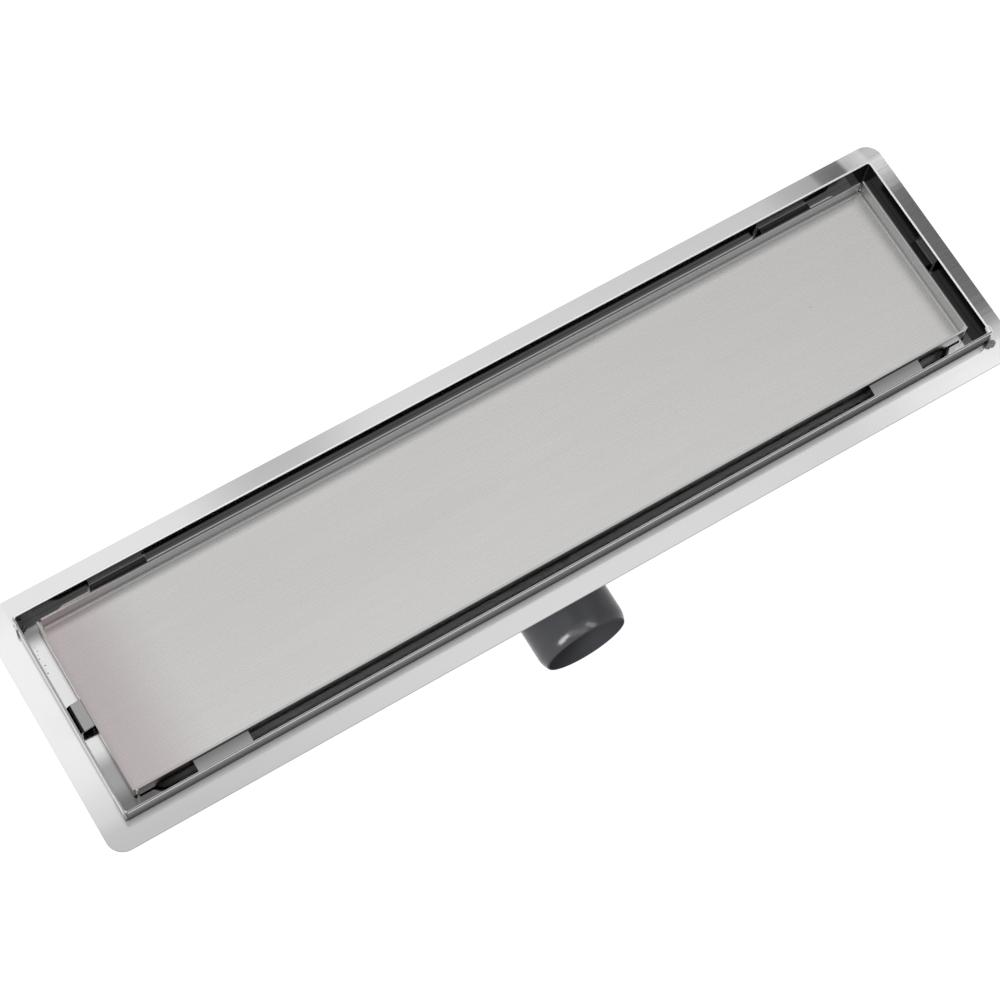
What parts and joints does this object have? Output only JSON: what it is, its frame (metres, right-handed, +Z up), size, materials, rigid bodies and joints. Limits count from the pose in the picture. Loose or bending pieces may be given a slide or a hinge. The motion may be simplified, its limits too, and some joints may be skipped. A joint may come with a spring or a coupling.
{
  "type": "linear shower drain",
  "caption": "Long stainless floor drain with a flat flange, an upstanding rim, a recessed tray for a tile insert and a moulded odour trap with a side outlet.",
  "frame": {"origin": "centre of the trap's flat base, straight below the middle of the channel", "axes": "+X along the channel, +Z up out of the floor, -Y the way the outlet spigot points"},
  "size_m": [0.53, 0.148, 0.1022],
  "materials": {
    "polished_steel": "polished sheet",
    "rim_steel": "ground strip",
    "satin_steel": "satin sheet",
    "spacer_steel": "satin strip",
    "strainer_steel": "satin sheet",
    "grey_plastic": "smooth moulded",
    "black_plastic": "moulded",
    "white_plastic": "moulded",
    "seal_rubber": "matt"
  },
  "bodies": {
    "root": {"pan": "polished_steel", "rim_strip_left": "rim_steel", "rim_strip_right": "rim_steel", "tile_tray": "satin_steel", "side_spacer_1": "spacer_steel", "side_spacer_2": "spacer_steel", "side_spacer_3": "spacer_steel", "side_spacer_4": "spacer_steel", "end_spacer_1": "spacer_steel", "end_spacer_2": "spacer_steel", "trap_body": "grey_plastic", "trap_gasket": "seal_rubber", "clamp_gasket": "seal_rubber", "clamp_ring": "black_plastic", "trap_cup": "white_plastic", "dip_tube": "white_plastic", "cup_seal": "seal_rubber", "hair_strainer": "strainer_steel"}
  },
  "joints": []
}
